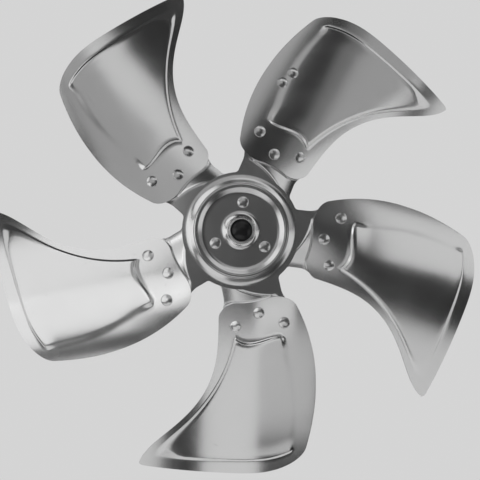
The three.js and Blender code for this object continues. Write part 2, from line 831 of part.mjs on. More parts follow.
// Hub
const hubRivetGeometry = makeRivet(sleeveFlangeRear);
hubRivetCentres().forEach((centre, i) => {
  addPiece(fan, `hub_rivet_${i + 1}`, hubRivetGeometry, brightSteel()).position.set(...centre);
});
addPiece(fan, 'hub_sleeve', makeSleeve(), turnedSteel());
const keyTop = shaftRadius - keyDepthInShaft + keyHeight;
const overKey = makeScrew(bossRadius - chamfer - keyTop - seatGap);
const onShaft = makeScrew(bossRadius - chamfer - shaftRadius - seatGap);
addPiece(fan, 'hub_set_screw_1', placeScrew(overKey, screwY, keyTop + seatGap, 0), screwSteel());
addPiece(
  fan,
  'hub_set_screw_2',
  placeScrew(onShaft, screwY, shaftRadius + seatGap, Math.PI / 2),
  screwSteel(),
);

// Shaft
addPiece(fan, 'drive_shaft', makeShaft(), blackSteel());
addPiece(fan, 'hub_key', makeKey(), screwSteel());

// Bearing unit
addPiece(fan, 'bearing_inner_ring', makeInnerRing(), bearingSteel());
addPiece(fan, 'bearing_outer_ring', makeOuterRing(), bearingSteel());
addPiece(fan, 'bearing_seal_front', makeSeal(-1), sealRubber());
addPiece(fan, 'bearing_seal_rear', makeSeal(1), sealRubber());
addPiece(fan, 'bearing_cage', makeCage(), brassCage());
const ball = new THREE.SphereGeometry(ballRadius, 8, 6);
for (let i = 0; i < ballCount; i += 1) {
  const angle = Math.PI / 2 + i * 2 * Math.PI / ballCount;
  const mesh = addPiece(fan, `bearing_ball_${i + 1}`, ball, bearingSteel());
  mesh.position.set(ballCircle * Math.cos(angle), ballY, ballCircle * Math.sin(angle));
}
const collarScrew = makeScrew(innerRingRadius - shaftRadius - seatGap).scale(0.75, 1, 0.75);
addPiece(
  fan,
  'bearing_set_screw_1',
  placeScrew(collarScrew, collarScrewY, shaftRadius + seatGap, 0),
  screwSteel(),
);
addPiece(
  fan,
  'bearing_set_screw_2',
  placeScrew(collarScrew, collarScrewY, shaftRadius + seatGap, Math.PI / 2),
  screwSteel(),
);
addPiece(fan, 'bearing_housing', makeHousing(), castIron());

export default fan;
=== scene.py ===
import math

import bmesh
import bpy
import numpy as np
from mathutils import Matrix, Vector


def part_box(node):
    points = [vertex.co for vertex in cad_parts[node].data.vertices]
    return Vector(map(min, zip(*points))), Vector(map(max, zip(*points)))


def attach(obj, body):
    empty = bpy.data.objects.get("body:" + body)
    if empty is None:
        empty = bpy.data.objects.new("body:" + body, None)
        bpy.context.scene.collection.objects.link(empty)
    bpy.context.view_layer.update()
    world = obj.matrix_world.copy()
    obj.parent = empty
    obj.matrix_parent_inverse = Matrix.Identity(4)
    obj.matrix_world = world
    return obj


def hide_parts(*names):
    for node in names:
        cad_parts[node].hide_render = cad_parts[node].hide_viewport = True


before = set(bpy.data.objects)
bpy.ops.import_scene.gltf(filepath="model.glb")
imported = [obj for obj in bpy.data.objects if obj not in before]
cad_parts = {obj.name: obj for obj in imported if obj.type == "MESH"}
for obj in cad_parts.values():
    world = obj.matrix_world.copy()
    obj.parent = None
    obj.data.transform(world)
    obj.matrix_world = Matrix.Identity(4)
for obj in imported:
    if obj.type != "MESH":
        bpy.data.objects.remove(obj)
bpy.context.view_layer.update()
MM = 0.001

# Sizes that the solids have too, in millimetres and degrees
SEAT_GAP = 0.3
FIT_GAP = 0.2
SHAFT_R = 9.5
BORE = 9.7
COLLAR_R = 11.6
COLLAR_FOOT = 18.4
PLATE_R = 31.5
NOTCH_R = 52.0
ROOT_R = 64.3
RIM_R = 215.0
TIP_REACH = 14.0
TIP_SHARE = 0.55
# Rounded corners of a blade: how far one draws its edge in, and over what share of the edge
ROOT_TRAILING = (14.0, 0.22)
ROOT_LEADING = (16.5, 0.3)
RIM_TRAILING = (2.5, 0.035)
RIM_LEADING = (20.0, 0.34)
BLADE_SHEET = 1.6
SPIDER_SHEET = 2.5
BLADES = 5
FIRST_BLADE = -5.7
TRAILING = [-26.3, -19.8, -19.9, -35.9, -35.5]
LEADING = [24.4, 20.6, 12.9, 5.2]
BLADE_RIVETS = {"leading": (89.7, 12.9), "middle": (74.3, 0.0), "trailing": (84.7, -15.3)}
SEAT_DEPTH = 3.0
RAKE = 0.12
PITCH = 0.22
CAMBER_R = 205.0
CAMBER_AXIS = math.radians(-15)
ARM_HALF = 25.4
ARM_OFFSET = -1.8
LAP = 28.7
LAP_HALF = 29.8
LAP_CORNER = 9.0
LAP_SLANT = 0.1

# Raised panel of a blade. A step is the run over which a side rises.
PANEL_H = 2.0
PANEL_FADE = 0.93  # of that height, at the leading side
SOFT_START = 0.19  # of the way out
SOFT_RUN = 0.16
STEP = 2.9
TRAILING_STEP = 2.3
LEADING_STEP = 9.0
TIP_STEP = 12.0
TRAILING_FLANGE = (14.0, 7.5)  # at the root, and from 0.6 of the way out
LEADING_FLANGE = 18.5
RIM_FLANGE = 10.0
HEEL_R = ROOT_R + 29.2
HEEL_SWING = 12.5
HEEL_WAVE = [0, 1, -0.12, 0.56]

# Hub plate and arms, where they are finer or softer than in the solids
FLARE_H = 2.7
LIP_H = 2.8
BEAD_H = 2.3
BEAD_RISE = 7.7
BEAD_FALL = 8.6
BEAD_FOOT = 50.0
CREST_LINES = (39.0, 41.6)
LINE_DEPTH = 0.17
LINE_WIDTH = 0.42
NOTCH_FILLET = 2.0
ARM_SLOPE = 0.62
ARM_FOLD = 1.1
SEAT_START = 2.2  # how far before the blade's edge an arm starts to follow the blade
SEAT_RUN = 2.0
LAP_START = ROOT_R - 1.5

# Names of the bodies
ROTOR = "rotor"
UNIT = "bearing_unit"
BALL_SET = "ball_set"


# Curves
def lerp(a, b, t):
    return a + (b - a) * t


def smooth(x):
    x = np.clip(x, 0.0, 1.0)
    return x * x * (3 - 2 * x)


def quarter(x):
    """A quarter circle, from 1 at x = 0, where it is steep, to 0 at x = 1."""
    x = np.clip(x, 0.0, 1.0)
    return 1 - np.sqrt(1 - (1 - x) ** 2)


def flank(x, foot, crest):
    """A straight ramp from 0 to 1, rounded over the given shares of it at foot and crest."""
    rise = 1 / (1 - foot / 2 - crest / 2)
    x = np.clip(x, 0.0, 1.0)
    ramp = np.where(x < foot, x ** 2 / (2 * foot), x - foot / 2) * rise
    return np.where(x > 1 - crest, 1 - rise * (1 - x) ** 2 / (2 * crest), ramp)


def bezier(values, t):
    row = [v + 0.0 * t for v in values]
    while len(row) > 1:
        row = [lerp(a, b, t) for a, b in zip(row[:-1], row[1:])]
    return row[0]


def arc(centre_r, centre_y, radius, start, end, steps):
    points = []
    for i in range(steps + 1):
        a = math.radians(lerp(start, end, i / steps))
        points.append((centre_r + radius * math.cos(a), centre_y + radius * math.sin(a)))
    return points


def spread(a, b, count):
    return [lerp(a, b, i / count) for i in range(count)]


# Blade form
def blade_front(u, v):
    """Depth of the plain sheet's front face, behind the hub plate's front.

    u runs out along the blade's axis, and v across it towards the leading edge.
    """
    reach = u - BLADE_RIVETS["middle"][0]
    along = reach * math.cos(CAMBER_AXIS) + v * math.sin(CAMBER_AXIS)
    across = v * math.cos(CAMBER_AXIS) - reach * math.sin(CAMBER_AXIS)
    return SEAT_DEPTH + RAKE * along - PITCH * across + across ** 2 / (2 * CAMBER_R)


def blade_normal(u, v):
    h = 0.01
    du = (blade_front(u + h, v) - blade_front(u - h, v)) / (2 * h)
    dv = (blade_front(u, v + h) - blade_front(u, v - h)) / (2 * h)
    return Vector((du, -1.0, dv)).normalized()


def corner(form, x):
    reach, share = form
    return reach * quarter(x / share)


def root_edge(s):
    """Radius of the inner edge."""
    return ROOT_R + corner(ROOT_TRAILING, s) + corner(ROOT_LEADING, 1 - s)


def rim_edge(s):
    """Radius of the outer edge, with the tip at its trailing end."""
    tip = TIP_REACH * np.maximum(0.0, 1 - s / TIP_SHARE) ** 2
    return RIM_R + tip - corner(RIM_TRAILING, s) - corner(RIM_LEADING, 1 - s)


def station(s, t):
    """A place in the blade's outline, and the edges, radius and chord there.

    s goes from the trailing edge at 0 to the leading edge at 1, and t from the root to the rim.
    """
    inner = root_edge(s)
    outer = rim_edge(s)
    radius = lerp(inner, outer, t)
    trailing = bezier(TRAILING, t)
    leading = bezier(LEADING, t)
    angle = np.radians(lerp(trailing, leading, s))
    chord = radius * np.radians(leading - trailing)
    return inner, outer, radius, chord, radius * np.cos(angle), radius * np.sin(angle)


def panel_trailing(t, chord):
    return lerp(*TRAILING_FLANGE, smooth(t / 0.6)) / chord


def panel_leading(chord):
    return 1 - LEADING_FLANGE / chord


def panel_share(s, t, chord):
    """How far across the panel, from its trailing side at 0 to its leading side at 1."""
    start = panel_trailing(t, chord)
    return np.clip((s - start) / (panel_leading(chord) - start), 0, 1)


def softness(t):
    """The leading side is soft and low along its middle, and sharp at both its ends."""
    return smooth((t - SOFT_START) / SOFT_RUN) * smooth((1.0 - t) / SOFT_RUN)


def trailing_step(t):
    return lerp(TRAILING_STEP, TIP_STEP, smooth((t - 0.8) / 0.2))


def leading_step(t):
    return lerp(STEP, LEADING_STEP, softness(t))


def rim_step(s, t, chord):
    return lerp(TIP_STEP, STEP, smooth((s - panel_trailing(t, chord)) * chord / 25.0))


def panel_heel(s, t, chord):
    return HEEL_R + HEEL_SWING * bezier(HEEL_WAVE, panel_share(s, t, chord))


def panel_rise(s, t):
    _, outer, radius, chord, _, _ = station(s, t)
    sides = smooth((s - panel_trailing(t, chord)) * chord / trailing_step(t))
    sides = sides * smooth((panel_leading(chord) - s) * chord / leading_step(t))
    heel = flank((radius - panel_heel(s, t, chord)) / STEP, 0.3, 0.3)
    rim = smooth((outer - RIM_FLANGE - radius) / rim_step(s, t, chord))
    height = PANEL_H * (1 - PANEL_FADE * softness(t) * panel_share(s, t, chord) ** 2)
    return height * sides * heel * rim


def column_lines(t, chord):
    foot = panel_trailing(t, chord)
    top = foot + trailing_step(t) / chord
    far_foot = panel_leading(chord)
    far_top = far_foot - leading_step(t) / chord
    lines = [foot * x for x in (0, 0.02, 0.06, 0.13, 0.24, 0.4, 0.6, 0.8)]
    lines += spread(foot, top, 8) + spread(top, far_top, 20) + spread(far_top, far_foot, 8)
    flange = (0, 0.15, 0.3, 0.45, 0.6, 0.72, 0.82, 0.9, 0.95, 0.98, 1)
    return lines + [lerp(far_foot, 1.0, x) for x in flange]


def row_lines(s, t, chord):
    inner, outer = root_edge(s), rim_edge(s)
    span = outer - inner
    foot = (panel_heel(s, t, chord) - inner) / span
    top = foot + STEP / span
    far_foot = 1 - RIM_FLANGE / span
    far_top = far_foot - rim_step(s, t, chord) / span
    lines = spread(0.0 * foot, foot, 9) + spread(foot, top, 6) + spread(top, far_top, 30)
    lines += spread(far_top, far_foot, 8)
    return lines + [lerp(far_foot, 1.0, x) for x in (0, 0.25, 0.5, 0.75, 0.92, 1)]


def blade_grid():
    """A grid over the front face whose lines follow the panel's sides, as u, v and depth.

    The sides depend on both s and t, so the lines are laid anew until they settle.
    """
    columns = len(column_lines(0.5, 100.0))
    rows = len(row_lines(0.5, 0.5, 100.0))
    i = np.arange(columns)[None, :].repeat(rows, 0)
    j = np.arange(rows)[:, None].repeat(columns, 1)
    s = i / (columns - 1)
    t = j / (rows - 1)
    for _ in range(14):
        lines = np.stack([x + 0 * t for x in column_lines(t, station(s, t)[3])])
        s = np.take_along_axis(lines, i[None], 0)[0]
        lines = np.stack([x + 0 * t for x in row_lines(s, t, station(s, t)[3])])
        t = np.take_along_axis(lines, j[None], 0)[0]
    u, v = station(s, t)[4:6]
    return u, v, blade_front(u, v) - panel_rise(s, t)


# Mesh making
def new_object(name, verts, faces, material, smooth_angle=35):
    mesh = bpy.data.meshes.new(name)
    mesh.from_pydata([tuple(v) for v in verts], [], faces)
    mesh.update()
    bm = bmesh.new()
    bm.from_mesh(mesh)
    bmesh.ops.remove_doubles(bm, verts=bm.verts, dist=2e-6)
    bmesh.ops.recalc_face_normals(bm, faces=bm.faces)
    bm.to_mesh(mesh)
    bm.free()
    mesh.shade_smooth()
    mesh.set_sharp_from_angle(angle=math.radians(smooth_angle))
    if material:
        mesh.materials.append(material)
    obj = bpy.data.objects.new(name, mesh)
    bpy.context.scene.collection.objects.link(obj)
    return obj


def keep(piece, node, body):
    """Let a piece stand for a solid, on its body."""
    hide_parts(node)
    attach(piece, body)


def sheet_faces(rows, columns, offset=0, flip=False):
    faces = []
    for j in range(rows - 1):
        for i in range(columns - 1):
            a = offset + j * columns + i
            quad = (a, a + columns, a + columns + 1, a + 1)
            faces.append(quad[::-1] if flip else quad)
    return faces


def border(rows, columns):
    """The corners round a grid, in order."""
    top = list(range(columns))
    right = [j * columns + columns - 1 for j in range(1, rows)]
    bottom = [(rows - 1) * columns + i for i in range(columns - 2, -1, -1)]
    left = [j * columns for j in range(rows - 2, 0, -1)]
    return top + right + bottom + left


def bevel(obj, width):
    mod = obj.modifiers.new("edge", "BEVEL")
    mod.width = width * MM
    mod.segments = 2
    mod.limit_method = "ANGLE"
    mod.angle_limit = math.radians(50)
    mod.harden_normals = True
    return obj


def turned(name, profile, material, facets=96, smooth_angle=30):
    """A solid turned about Y. The profile is (radius, y) in millimetres, from axis to axis or
    round a loop that ends where it starts."""
    loop = profile[0] == profile[-1]
    verts, faces, rings = [], [], []
    for r, y in profile[:-1] if loop else profile:
        if r < 1e-6:
            rings.append([len(verts)] * facets)
            verts.append((0.0, y * MM, 0.0))
            continue
        rings.append(list(range(len(verts), len(verts) + facets)))
        for k in range(facets):
            a = 2 * math.pi * k / facets
            verts.append((r * math.cos(a) * MM, y * MM, r * math.sin(a) * MM))
    for m in range(len(rings) if loop else len(rings) - 1):
        p, q = rings[m], rings[(m + 1) % len(rings)]
        for k in range(facets):
            n = (k + 1) % facets
            face = tuple(dict.fromkeys((p[k], p[n], q[n], q[k])))
            if len(face) > 2:
                faces.append(face)
    return new_object(name, verts, faces, material, smooth_angle)


def block(name, size, centre, material=None):
    """A plain box: its width, length and height, and its centre."""
    verts = [[(c + way * d / 2) * MM for c, way, d in zip(centre, (i, j, k), size)]
             for i in (-1, 1) for j in (-1, 1) for k in (-1, 1)]
    faces = [(0, 1, 3, 2), (4, 6, 7, 5), (0, 4, 5, 1), (2, 3, 7, 6), (0, 2, 6, 4), (1, 5, 7, 3)]
    return new_object(name, verts, faces, material)


def rod(radius, start, end, facets=32):
    """A plain bar along Y, for cutting."""
    return turned("tool", [(0.0, start), (radius, start), (radius, end), (0.0, end)], None, facets)


def turn_about_y(degrees):
    return Matrix.Rotation(math.radians(degrees), 4, "Y")


def shift(x, y, z):
    return Matrix.Translation((x * MM, y * MM, z * MM))


def cross_hole(radius, y, turn):
    """A tool from the axis outwards: up at 0 degrees, to the right at 90."""
    tool = rod(radius, -60.0, 0.0)
    upright = Matrix.Rotation(math.radians(-90), 4, "X")
    tool.data.transform(shift(0, y, 0) @ turn_about_y(turn) @ upright)
    return tool


def cut(obj, tools):
    """Cut a piece with other solids and let go of them."""
    for tool in tools:
        mod = obj.modifiers.new("cut", "BOOLEAN")
        mod.operation = "DIFFERENCE"
        mod.solver = "EXACT"
        mod.object = tool
    bpy.context.view_layer.update()
    depsgraph = bpy.context.evaluated_depsgraph_get()
    mesh = bpy.data.meshes.new_from_object(obj.evaluated_get(depsgraph))
    obj.modifiers.clear()
    obj.data = mesh
    mesh.shade_smooth()
    mesh.set_sharp_from_angle(angle=math.radians(30))
    for tool in tools:
        bpy.data.objects.remove(tool)
    return obj


# Materials
def feed(tree, socket, value):
    """Link an output to a socket, or set the socket to a value."""
    if isinstance(value, bpy.types.NodeSocket):
        tree.links.new(value, socket)
    else:
        socket.default_value = value


def add_node(tree, kind, inputs=None, **settings):
    node = tree.nodes.new(kind)
    for name, value in settings.items():
        setattr(node, name, value)
    for name, value in (inputs or {}).items():
        feed(tree, node.inputs[name], value)
    return node


def object_coords(tree):
    return add_node(tree, "ShaderNodeTexCoord").outputs["Object"]


def scaled(tree, vector, scale):
    node = add_node(tree, "ShaderNodeMapping", {"Vector": vector, "Scale": scale})
    return node.outputs["Vector"]


def noise(tree, vector, scale, detail, roughness=0.5):
    inputs = {"Vector": vector, "Scale": scale, "Detail": detail, "Roughness": roughness}
    return add_node(tree, "ShaderNodeTexNoise", inputs).outputs["Fac"]


def ramp(tree, value, to_min, to_max, from_min=0.0, from_max=1.0, curve="LINEAR"):
    inputs = {"Value": value, "From Min": from_min, "From Max": from_max,
              "To Min": to_min, "To Max": to_max}
    node = add_node(tree, "ShaderNodeMapRange", inputs, interpolation_type=curve)
    return node.outputs["Result"]


def mix(tree, factor, a, b):
    inputs = {"Factor": factor, "A": a, "B": b}
    return add_node(tree, "ShaderNodeMix", inputs, data_type="RGBA").outputs["Result"]


def arithmetic(tree, operation, *values, clamp=False):
    inputs = dict(enumerate(values))
    node = add_node(tree, "ShaderNodeMath", inputs, operation=operation, use_clamp=clamp)
    return node.outputs["Value"]


def relief(tree, height, strength, distance):
    inputs = {"Height": height, "Strength": strength, "Distance": distance}
    return add_node(tree, "ShaderNodeBump", inputs).outputs["Normal"]


def toned(color, factor):
    return (*[min(1, c * factor) for c in color], 1)


def new_material(name):
    material = bpy.data.materials.new(name)
    material.use_nodes = True
    tree = material.node_tree
    return material, tree, tree.nodes["Principled BSDF"].inputs


def metal(name, color, roughness, variation, brush=(1, 1, 1), spots=0.0, scale=1.0):
    """Bare metal: fine grain, faint smears that vary its gloss, and small handling marks."""
    material, tree, shader = new_material(name)
    place = object_coords(tree)
    smear = noise(tree, place, 22 * scale, 5, 0.6)
    grain = noise(tree, scaled(tree, place, brush), 900 * scale, 3)
    gloss = ramp(tree, smear, roughness - variation, roughness + variation, 0.3, 0.7)
    tone = mix(tree, smear, toned(color, 0.93), toned(color, 1.04))
    if spots:
        marks = ramp(tree, noise(tree, place, 260 * scale, 2), 0.0, spots, 0.7, 0.78)
        tone = mix(tree, marks, tone, toned(color, 0.55))
    feed(tree, shader["Metallic"], 1.0)
    feed(tree, shader["Base Color"], tone)
    feed(tree, shader["Roughness"], arithmetic(tree, "MULTIPLY_ADD", grain, variation, gloss))
    feed(tree, shader["Normal"], relief(tree, grain, 0.02, 0.0002))
    return material


def matte(name, color, roughness, grain_scale, depth, coat=0.0):
    """Cast, painted or rubber surface: mottled tone over a fine relief. An oiled coat takes over
    most of its gloss."""
    material, tree, shader = new_material(name)
    place = object_coords(tree)
    grain = noise(tree, place, grain_scale, 6)
    cloud = noise(tree, place, 40, 4)
    feed(tree, shader["Base Color"], mix(tree, cloud, toned(color, 0.88), toned(color, 1.12)))
    feed(tree, shader["Roughness"], ramp(tree, grain, roughness - 0.08, roughness + 0.08))
    feed(tree, shader["Normal"], relief(tree, grain, 0.5, depth))
    feed(tree, shader["Coat Weight"], coat)
    feed(tree, shader["Coat Roughness"], 0.16)
    feed(tree, shader["Coat IOR"], 1.45)
    feed(tree, shader["Specular IOR Level"], 0.1 if coat else 0.5)
    return material


SHEET = metal("bright_sheet", (0.80, 0.80, 0.80), 0.165, 0.03, spots=0.25)
RIVET = metal("rivet_steel", (0.80, 0.80, 0.80), 0.19, 0.04, scale=1.6)
TURNED = metal("turned_steel", (0.62, 0.62, 0.62), 0.24, 0.05, brush=(1, 18, 1))
BLACK = matte("black_oxide", (0.006, 0.006, 0.0065), 0.4, 900, 0.00003, coat=0.85)
SCREW = metal("screw_black", (0.06, 0.06, 0.062), 0.38, 0.06)
RACE = metal("ground_steel", (0.74, 0.75, 0.76), 0.14, 0.03, brush=(1, 20, 1))
BRASS = metal("cage_brass", (0.66, 0.48, 0.2), 0.3, 0.05)
RUBBER = matte("seal_rubber", (0.035, 0.035, 0.036), 0.7, 700, 0.00008)
IRON = matte("painted_casting", (0.17, 0.18, 0.19), 0.5, 420, 0.0003)


# Blades
BLADE_U, BLADE_V, BLADE_Y = blade_grid()


def blade_angle(k):
    return FIRST_BLADE + 360.0 / BLADES * k


def make_blade(k):
    rows, columns = BLADE_U.shape
    front = np.stack([BLADE_U, BLADE_Y, BLADE_V], -1).reshape(-1, 3) * MM
    rear = front + np.array([0, BLADE_SHEET * MM, 0])
    count = len(front)
    faces = sheet_faces(rows, columns) + sheet_faces(rows, columns, count, True)
    loop = border(rows, columns)
    for a, b in zip(loop, loop[1:] + loop[:1]):
        faces.append((a, b, b + count, a + count))
    obj = new_object(f"blade_sheet_{k + 1}", np.vstack([front, rear]), faces, SHEET)
    obj.data.transform(turn_about_y(-blade_angle(k)))
    return bevel(obj, 0.45)


for k in range(BLADES):
    keep(make_blade(k), f"blade_{k + 1}", ROTOR)


# Spider
def hub_depth(r):
    """Depth of the plate's front: the collar's flare and lip, the bead, and the fine lines."""
    flare = np.clip((COLLAR_FOOT - r) / (COLLAR_FOOT - COLLAR_R), 0, 1)
    collar = -FLARE_H * flare ** 2.2 - LIP_H * flare ** 30
    inner = flank((r - PLATE_R) / BEAD_RISE, 0.5, 0.12)
    outer = flank((BEAD_FOOT - r) / BEAD_FALL, 0.6, 0.12)
    bead = -BEAD_H * inner * outer
    lines = sum(LINE_DEPTH * np.exp(-((r - line) / LINE_WIDTH) ** 2) for line in CREST_LINES)
    return collar + bead + lines


ROOT_U, ROOT_V = station(np.linspace(0, 1, 401), np.zeros(401))[4:6]


def arm_depth(u, v):
    """An arm is flat, then folds back once along a line and climbs to the blade's rear face."""
    edge = np.interp(v, ROOT_V, ROOT_U)
    climb = blade_front(edge, v) + BLADE_SHEET + SEAT_GAP - ARM_SLOPE * (edge - u)
    bend = np.clip(climb + ARM_FOLD, 0, 2 * ARM_FOLD) ** 2 / (4 * ARM_FOLD)
    fold = bend + np.maximum(0, climb - ARM_FOLD)
    seat = blade_front(u, v) + BLADE_SHEET + SEAT_GAP
    return lerp(fold, seat, smooth((u - edge + SEAT_START) / SEAT_RUN))


def arm_ring(across, r):
    """A place on an arm's open stretch: -1 to 1 across it, and the radius."""
    half = ARM_HALF + NOTCH_FILLET * quarter((r - NOTCH_R) / NOTCH_FILLET)
    v = ARM_OFFSET + across * half
    return math.sqrt(r * r - v * v), v


def arm_lap(across, along):
    """A place on an arm's end behind the blade: -1 to 1 across it, and 0 to 1 along it."""
    edge = abs(across) * LAP_HALF
    rounding = LAP_CORNER * quarter((LAP_HALF - edge) / LAP_CORNER)
    v_end = ARM_OFFSET + across * LAP_HALF
    u_end = ROOT_R + LAP + LAP_SLANT * v_end - rounding
    u, v = arm_ring(across, LAP_START)
    return lerp(u, u_end, along), lerp(v, v_end, smooth(along / 0.6))


ACROSS = [-1, -0.985, -0.95, -0.9] + [lerp(-0.85, 0.85, i / 40) for i in range(41)]
ACROSS += [0.9, 0.95, 0.985, 1]
HUB_RINGS = [COLLAR_R + (COLLAR_FOOT - COLLAR_R) * (i / 22) ** 1.7 for i in range(23)]
HUB_RINGS += [21, 25, 29, *np.linspace(PLATE_R, BEAD_FOOT, 84), 51.0, NOTCH_R]
ARM_RINGS = [NOTCH_R + NOTCH_FILLET * x for x in (0, 0.01, 0.04, 0.1, 0.2, 0.35, 0.55, 0.78)]
ARM_RINGS += list(np.linspace(NOTCH_R + NOTCH_FILLET, LAP_START, 30))


def hub_rows(angles, turn):
    rows = []
    for r in HUB_RINGS:
        y = float(hub_depth(r))
        rows.append([(r * math.cos(a + turn), y, r * math.sin(a + turn)) for a in angles])
    return rows


def arm_rows(turn):
    """Rows from the notch floor outwards. The first lies on the plate's last ring."""
    plan = [[arm_ring(a, r) for a in ACROSS] for r in ARM_RINGS]
    plan += [[arm_lap(a, x) for a in ACROSS] for x in np.linspace(0.0, 1.0, 22)[1:]]
    rows = []
    for j, row in enumerate(plan):
        points = []
        for u, v in row:
            y = float(arm_depth(u, v)) if j else 0.0
            r, a = math.hypot(u, v), math.atan2(v, u) + turn
            points.append((r * math.cos(a), y, r * math.sin(a)))
        rows.append(points)
    return rows


def weld(verts, faces):
    """Join the corners that meet, to 0.001 mm, and drop the faces that this leaves flat."""
    index, remap, kept = {}, [], []
    for x, y, z in verts:
        key = (round(x, 3), round(y, 3), round(z, 3))
        if key not in index:
            index[key] = len(kept)
            kept.append((x, y, z))
        remap.append(index[key])
    quads = [tuple(remap[i] for i in f) for f in faces]
    return kept, [f for f in quads if len(set(f)) == 4]


def make_spider():
    floor = [math.atan2(v, u) for u, v in (arm_ring(a, NOTCH_R) for a in ACROSS)]
    next_arm = floor[0] + 2 * math.pi / BLADES
    notch = [lerp(floor[-1], next_arm, x) for x in (0.25, 0.5, 0.75, 1.0)]
    verts, faces = [], []
    for k in range(BLADES):
        turn = math.radians(blade_angle(k))
        for rows in (hub_rows(floor + notch, turn), arm_rows(turn)):
            faces += sheet_faces(len(rows), len(rows[0]), len(verts))
            verts += [point for row in rows for point in row]
    front, quads = weld(verts, faces)
    count = len(front)
    closed = quads + [tuple(i + count for i in f[::-1]) for f in quads]
    edges = dict.fromkeys(edge for f in quads for edge in zip(f, f[1:] + f[:1]))
    closed += [(b, a, a + count, b + count) for a, b in edges if (b, a) not in edges]
    front = np.array(front) * MM
    rear = front + np.array([0, SPIDER_SHEET * MM, 0])
    return bevel(new_object("spider_plate", np.vstack([front, rear]), closed, SHEET), 0.4)


keep(make_spider(), "hub_spider", ROTOR)

# Rivets
FLANGE_REAR = 7.8
HUB_RIVETS = 3
HUB_RIVET_R = 25.2
HUB_RIVET_ANGLE = 86
BALANCE_RIVETS = [(136.3, 19.0), (148.2, 13.9)]  # as u and v on one blade
BALANCED_BLADE = 1
BALANCE_GAP = 0.1
# Form of a rivet: radius, height and edge of its head, radius of its shank, and its tail
JOINT_FORM = ((5.1, 1.2, 0.4), 3.0,
              [(4.4, 0.0), (4.6, 0.3), (4.5, 1.2), (4.0, 1.9), (3.1, 2.2), (0.0, 2.2)])
BALANCE_FORM = ((4.9, 1.3, 0.4), 2.0,
                [(3.4, 0.0), (3.5, 0.5), (3.0, 1.2), (2.2, 1.5), (0.0, 1.5)])


def dome_head(radius, height, rim):
    """A shallow dome with a rounded edge, from the axis to its foot at y = 0."""
    inner = radius - rim
    rise = height - rim
    sphere = (inner ** 2 + rise ** 2) / (2 * rise)
    half = math.degrees(math.asin(inner / sphere))
    top = arc(0, sphere - height, sphere, -90, -90 + half, 14)
    top[0] = (0.0, top[0][1])
    edge = arc(inner, -rim, rim, -90 + half, 0, 5)
    return top + edge[1:] + [(radius, -0.15), (radius - 0.12, 0.0)]


def rivet(name, form, seat, rear):
    """A rivet whose head and upset tail start at these depths."""
    head, shank, tail = form
    profile = [(r, y + seat) for r, y in dome_head(*head)]
    profile += [(shank, seat), (shank, rear)]
    profile += [(r, rear + y) for r, y in tail]
    return turned(name, profile, RIVET, 40, 50)


def joint_rivet(name, grip):
    """A rivet through sheets of this thickness."""
    return rivet(name, JOINT_FORM, -SEAT_GAP / 2, grip + SEAT_GAP)


def on_blade(k, u, v, depth):
    """The place of a rivet in a blade, square to its sheet."""
    lean = Vector((0, -1, 0)).rotation_difference(blade_normal(u, v)).to_matrix().to_4x4()
    return turn_about_y(-blade_angle(k)) @ shift(u, depth, v) @ lean


for k in range(BLADES):
    for which, (radius, angle) in BLADE_RIVETS.items():
        u = radius * math.cos(math.radians(angle))
        v = radius * math.sin(math.radians(angle))
        piece = joint_rivet(f"rivet_{k + 1}_{which}", BLADE_SHEET + SEAT_GAP + SPIDER_SHEET)
        piece.data.transform(on_blade(k, u, v, float(blade_front(u, v))))
        keep(piece, f"blade_{k + 1}_rivet_{which}", ROTOR)

for k in range(HUB_RIVETS):
    angle = math.radians(HUB_RIVET_ANGLE + 360 / HUB_RIVETS * k)
    piece = joint_rivet(f"plate_rivet_{k + 1}", FLANGE_REAR)
    piece.data.transform(shift(HUB_RIVET_R * math.cos(angle), 0, HUB_RIVET_R * math.sin(angle)))
    keep(piece, f"hub_rivet_{k + 1}", ROTOR)

for k, (u, v) in enumerate(BALANCE_RIVETS):
    rear = BLADE_SHEET + BALANCE_GAP
    piece = rivet(f"balance_rivet_{k + 1}", BALANCE_FORM, -BALANCE_GAP, rear)
    nearest = np.argmin((BLADE_U - u) ** 2 + (BLADE_V - v) ** 2)
    piece.data.transform(on_blade(BALANCED_BLADE, u, v, float(BLADE_Y.flat[nearest])))
    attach(piece, ROTOR)

# Sleeve, shaft and key
NOSE_R = 11.3
BOSS_R = 17.0
BOSS_LENGTH = 22.0
BOSS_REAR = 29.8
HUB_SCREW_HOLE = 4.2
HUB_SCREW_Y = FLANGE_REAR + BOSS_LENGTH * 0.55
HUB_SCREW_OUT = 16.0
KEY_LENGTH = 18.0
KEY_WIDTH = 6.0
KEY_Y = BOSS_REAR - KEY_LENGTH / 2 - 1
KEY_LOW, KEY_TOP = 6.0, 12.0
SHAFT_CROWN = 2.2
DRIVE_FLAT = 8.5  # height of the flat above the axis
DRIVE_FLAT_LENGTH = 28.0


def make_sleeve():
    sleeve = turned("sleeve", [
        (BORE, -7.4), (9.9, -7.8), (10.2, -8.0), (10.8, -8.0), (11.15, -7.8), (NOSE_R, -7.4),
        (NOSE_R, 2.8), (32.7, 2.8), (33.0, 3.1), (33.0, 7.0), (32.8, 7.5), (32.3, FLANGE_REAR),
        (19.2, FLANGE_REAR), (17.8, 8.3), (BOSS_R, 9.6), (BOSS_R, 28.9), (16.7, 29.5),
        (16.1, BOSS_REAR), (BORE, BOSS_REAR), (BORE, -7.4),
    ], TURNED, smooth_angle=32)
    slot = KEY_TOP + FIT_GAP
    return cut(sleeve, [
        block("tool", (KEY_WIDTH + 2 * FIT_GAP, BOSS_LENGTH, 24.0), (0, KEY_Y + 2, slot - 12.0)),
        cross_hole(HUB_SCREW_HOLE, HUB_SCREW_Y, 0),
        cross_hole(HUB_SCREW_HOLE, HUB_SCREW_Y, 90),
    ])


